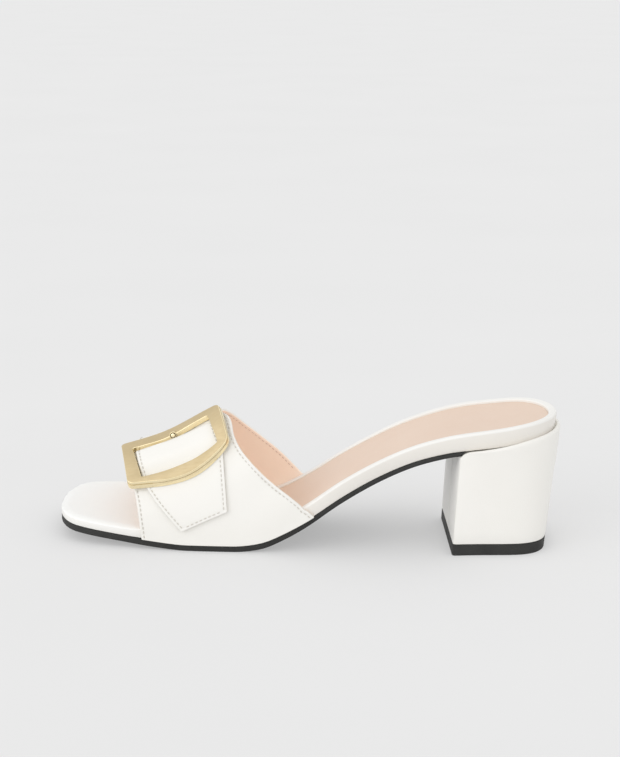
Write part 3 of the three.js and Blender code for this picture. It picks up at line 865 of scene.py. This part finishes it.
def make_strap():
    runs = steps(0, 116, 92) + [STRAP_RUN - step for step in reversed(EDGE_STEPS[:5])]
    panel(runs, crosses_for(STRAP_WIDTH, 14), STRAP_WALL, 0.5)
    piece = name_piece("buckle_strap_leather")
    for material in (WHITE, EDGE_WHITE, STRAP_SIDE_SHADE):
        piece.data.materials.append(material)
    # The strap's sides take the darker beige, painted shade along its edge; its underside then takes the
    # plain white.
    paint(piece, 2, lambda face: face.normal.z < 0.35)
    paint(piece, 1, lambda face: face.normal.z < -0.5)

    def place(run, cross, z):
        x, reach = strap_spot(run, cross)
        edges = (cross, STRAP_WIDTH - cross, STRAP_RUN - run)
        groove = sum(channel(edge) for edge in edges) if z > -0.2 else 0
        return on_strap_line(x, reach, strap_lift(x, reach) + STRAP_WALL + z - groove)
    lay(piece, place)
    finish_normals(piece, 50)
    keep(piece, "buckle_strap")


# ------------------------------------------------------------------ the buckle
def buckle_loop(size, near, corner, inset=0.0):
    """Rounded loop of (x, reach) through the four edges, drawn in by inset save at the near bar."""
    reach = column(near, 1)
    front = [x + inset for x in size["front"]]
    back = [x - inset for x in size["back"]]
    far = [reach_there + inset for reach_there in size["far"]]

    def far_side(t):
        return Vector((mix(front[0], back[0], t), mix(*far, t) + size["bow"] * bell(t - 0.45, 0.25)))

    def back_side(t):
        return Vector((mix(back[0], back[1], t), mix(far[1], near[-1][1], t)))

    def near_side(t):
        return Vector((mix(back[1], front[1], t), reach(1 - t)))

    def front_side(t):
        return Vector((mix(front[1], front[0], t), mix(near[0][1], far[0], t)))
    sides = [far_side, back_side, near_side, front_side]
    loop = []
    for here, following in zip(sides, sides[1:] + sides[:1]):
        trim = corner / (here(1) - here(0)).length
        loop += [here(mix(trim, 1 - trim, k / 28)) for k in range(29)]
        start, turn = loop[-1], here(1)
        end = following(corner / (following(1) - following(0)).length)
        for k in range(1, 6):
            loop.append(start.lerp(turn, k / 6).lerp(turn.lerp(end, k / 6), k / 6))
    return loop


def move_ring(test, old, new):
    """Moves the selected kind of vertices of one ring to the matching spots of another."""
    data = bpy.context.object.data
    mesh = bmesh.from_edit_mesh(data)
    tree = KDTree(len(old))
    for i, spot in enumerate(old):
        tree.insert(spot.to_3d(), i)
    tree.balance()
    for vertex in [vertex for vertex in mesh.verts if test(vertex)]:
        _, i, distance = tree.find((vertex.co.x, vertex.co.y, 0))
        if distance < 1e-3:
            vertex.co.x, vertex.co.y = new[i]
    bmesh.update_edit_mesh(data)


def in_groove(edge, thickness):
    return any(0.5 < vertex.co.z / thickness < 0.8 for vertex in edge.verts)


def make_buckle():
    base = buckle_loop(BUCKLE_OUTER, NEAR_BASE, OUTER_CORNER)
    top = buckle_loop(BUCKLE_OUTER, NEAR_FACE, OUTER_CORNER, BUCKLE_DRAFT)
    hole = buckle_loop(BUCKLE_INNER, NEAR_INNER, INNER_CORNER)
    bpy.ops.mesh.primitive_circle_add(vertices=len(base), radius=1, fill_type="NOTHING", location=(0, 0, 0))
    for vertex, spot in zip(bpy.context.object.data.vertices, base):
        vertex.co = spot.to_3d()
    edit()
    bpy.ops.mesh.select_all(action="SELECT")
    bpy.ops.mesh.extrude_edges_move()
    move_ring(lambda vertex: vertex.select, base, hole)
    thickness = BUCKLE_TOP - BUCKLE_BASE
    raise_plate(thickness)
    move_ring(lambda vertex: vertex.co.z > thickness / 2, base, top)
    for share in GROOVE_LEVELS:
        bpy.ops.mesh.select_all(action="SELECT")
        bpy.ops.mesh.bisect(plane_co=(0, 0, thickness * share), plane_no=(0, 0, 1))
    middle = GROOVE_LEVELS[1]
    wall = [a.lerp(b, middle) for a, b in zip(base, top)]
    groove = [a + (b - a).normalized() * GROOVE_DEPTH for a, b in zip(wall, hole)]
    move_ring(lambda vertex: abs(vertex.co.z - thickness * middle) < 1e-3, wall, groove)
    round_edges(lambda edge: edge.calc_face_angle(0) > 0.8 and not in_groove(edge, thickness), 0.32, 3)
    done()
    piece = name_piece("buckle_frame")
    for material in (GOLD_FACE, GOLD_POLISHED_PAINTED_HIGHLIGHT, GROOVE_SHADE_GOLD):
        piece.data.materials.append(material)
    # Bevels and walls take the paler polished gold: painted highlight along the frame's edges.
    paint(piece, 1, lambda face: face.normal.z < 0.93)
    # Faces inside the groove take the dark gold: painted shade.
    low, high = GROOVE_LEVELS[0] * thickness, GROOVE_LEVELS[-1] * thickness
    paint(piece, 2, lambda face: low < face.center.z < high and 0.2 < abs(face.normal.z) < 0.95)

    def place(x, reach, z):
        return on_strap_line(x, reach, BUCKLE_BASE + z * (1 + NEAR_RISE * max(reach - 25, 0)))
    lay(piece, place)
    finish_normals(piece, 30)
    keep(piece, "buckle")


def make_lug():
    """A small ring beside the far bar, in a seat painted dark gold as painted shade."""
    low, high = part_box("buckle_lug")
    middle_x = ((low[0] + high[0]) / 2 - ORIGIN_X) / MM
    bpy.ops.mesh.primitive_cylinder_add(vertices=28, radius=1.6, depth=1.6, location=(0, 0, 0))
    edit()
    pick("FACE", lambda face: face.normal.z > 0.9)
    bpy.ops.mesh.inset(thickness=0.2)
    bpy.ops.mesh.inset(thickness=0.25)
    bpy.ops.mesh.extrude_region_move(TRANSFORM_OT_translate={"value": (0, 0, -0.5)})
    bpy.ops.mesh.inset(thickness=0.12)
    bpy.ops.mesh.extrude_region_move(TRANSFORM_OT_translate={"value": (0, 0, 0.6)})
    round_edges(lambda edge: edge.calc_face_angle(0) > 1, 0.1, 2)
    bpy.ops.mesh.select_all(action="SELECT")
    bpy.ops.transform.rotate(value=radians(LUG_TILT), orient_axis="X")
    done()
    piece = name_piece("buckle_post")
    # The lug's boss takes the paler polished gold (painted highlight), the ring round it the dark gold
    # (painted shade).
    for material in (GOLD_POLISHED_PAINTED_HIGHLIGHT, LUG_SEAT_SHADE_GOLD):
        piece.data.materials.append(material)
    paint(piece, 1, lambda face: 1.1 < hypot(face.center.x, hypot(face.center.y, face.center.z)) < 1.6)
    lay(piece, lambda u, v, z: on_strap_line(middle_x + LUG_SHIFT + u, LUG_REACH + v, LUG_LIFT + z))
    finish_normals(piece, 40)
    keep(piece, "buckle_lug")


# --------------------------------------------------------------------- stitches
def stitch_row(name, path, thread=THREAD):
    """One stitch, modelled once, copied along a path of (point, outward) pairs."""
    bpy.ops.mesh.primitive_uv_sphere_add(segments=8, ring_count=5, radius=1, location=(0, 0, 0))
    single = bpy.context.object
    edit()
    bpy.ops.mesh.select_all(action="SELECT")
    bpy.ops.transform.resize(value=(0.8, 0.3, 0.24))
    done()
    run, marks = 0.0, [0.0]
    for (a, _), (b, _) in zip(path, path[1:]):
        run += (b - a).length
        marks.append(run)
    count = round(run / STITCH_PITCH)
    rows = bmesh.new()
    i = 0
    for k in range(count):
        goal = (k + 0.5) / count * run
        while marks[i + 1] < goal:
            i += 1
        t = (goal - marks[i]) / (marks[i + 1] - marks[i])
        spot = path[i][0].lerp(path[i + 1][0], t)
        out = path[i][1].lerp(path[i + 1][1], t).normalized()
        along = (path[i + 1][0] - path[i][0]).normalized()
        side = out.cross(along).normalized()
        turn = Matrix((along, side, side.cross(along) * -1)).transposed().to_4x4()
        copy = bmesh.new()
        copy.from_mesh(single.data)
        copy.transform(Matrix.Translation(spot) @ turn)
        stamp = bpy.data.meshes.new("stitch")
        copy.to_mesh(stamp)
        rows.from_mesh(stamp)
        bpy.data.meshes.remove(stamp)
        copy.free()
    rows.to_mesh(single.data)
    rows.free()
    piece = name_piece(name)
    lay(piece, lambda x, y, z: (x, y, z))
    finish_normals(piece, 80)
    keep(piece, None, [thread])


def outward(point_at, *spot):
    base, top = point_at(*spot, 0.0), point_at(*spot, 0.5)
    return (top - base).normalized()


def vamp_path(cross, low, high, lift=0.0):
    path = []
    for k in range(161):
        share = mix(low, high, k / 160)
        x = vamp_x(share, cross)
        path.append((on_vamp(x, share, lift), outward(on_vamp, x, share)))
    return path


def strap_path(spots):
    path = []
    for run, cross in spots:
        x, reach = strap_spot(run, cross)
        lift = strap_lift(x, reach) + STRAP_WALL
        path.append((on_strap_line(x, reach, lift), outward(on_strap_line, x, reach)))
    return path


def make_stitches():
    stitch_row("toe_edge_stitches", vamp_path(STITCH_INSET, 0.01, 0.99))
    stitch_row("throat_edge_stitches", vamp_path(VAMP_WIDTH - STITCH_INSET, 0.01, 0.99))
    lining = vamp_path(VAMP_WIDTH - STITCH_INSET, 0.1, 0.9, -VAMP_WALL)
    stitch_row("throat_lining_stitches", lining, BLUSH_THREAD)
    inset = STITCH_INSET
    runs = steps(1.5, STRAP_RUN - inset, 120)
    stitch_row("strap_front_stitches", strap_path([(run, inset) for run in runs]))
    stitch_row("strap_back_stitches", strap_path([(run, STRAP_WIDTH - inset) for run in runs]))
    tip = steps(inset, STRAP_WIDTH - inset, 24)
    stitch_row("strap_tip_stitches", strap_path([(STRAP_RUN - inset, cross) for cross in tip[1:-1]]))


bpy.ops.object.select_all(action="DESELECT")
make_outsole()
make_footbed()
make_sock()
make_heel()
make_vamp()
make_strap()
make_buckle()
make_lug()
make_stitches()


# ------------------------------------------------------------ floor, light, view
def make_floor():
    bpy.ops.mesh.primitive_plane_add(size=60, location=(0, 20, 0))
    piece = name_piece("floor")
    material, nodes, links, skin, place = shader("floor_paper", (0.46, 0.46, 0.46), 0.9)
    paper = add_noise(nodes, links, place.outputs["Object"], 6)
    add_tint(nodes, links, paper, ((0.455, 0.455, 0.455), (0.465, 0.465, 0.465)), skin.inputs["Base Color"])
    skin.inputs["Specular IOR Level"].default_value = 0.0
    skin.inputs["Emission Color"].default_value = (1, 1, 1, 1)
    skin.inputs["Emission Strength"].default_value = 0.36
    piece.data.materials.append(material)


def make_light():
    """A white room, brighter towards the side that the shoe is seen from."""
    world = bpy.data.worlds.new("studio")
    bpy.context.scene.world = world
    world.use_nodes = True
    nodes, links = world.node_tree.nodes, world.node_tree.links
    room = nodes["Background"]
    room.inputs["Color"].default_value = (1, 1, 1, 1)
    place = nodes.new("ShaderNodeTexCoord")
    facing = nodes.new("ShaderNodeVectorMath")
    facing.operation = "DOT_PRODUCT"
    facing.inputs[1].default_value = (-0.35, -0.9, 0.25)
    span = nodes.new("ShaderNodeMapRange")
    span.inputs["From Min"].default_value = 0.0
    span.inputs["From Max"].default_value = 1.0
    span.inputs["To Min"].default_value = 0.86
    span.inputs["To Max"].default_value = 1.14
    links.new(place.outputs["Generated"], facing.inputs[0])
    links.new(facing.outputs["Value"], span.inputs["Value"])
    links.new(span.outputs["Result"], room.inputs["Strength"])
    bpy.ops.object.light_add(type="SUN")
    sun = bpy.context.object
    sun.rotation_euler = Vector((-0.70, -0.54, 0.46)).to_track_quat("Z", "Y").to_euler()
    sun.data.energy = 0.4
    sun.data.angle = radians(50)


def make_camera():
    bpy.ops.object.camera_add(
        location=(ORIGIN_X + 1.2 * MM, ORIGIN_Y - 822 * MM, 286 * MM),
        rotation=(radians(90 - 14.14), 0, 0))
    camera = bpy.context.object
    camera.data.lens = 85
    camera.data.sensor_fit = "VERTICAL"
    camera.data.sensor_height = 36
    bpy.context.scene.camera = camera


make_floor()
make_light()
make_camera()
bpy.context.scene.view_settings.view_transform = "Standard"
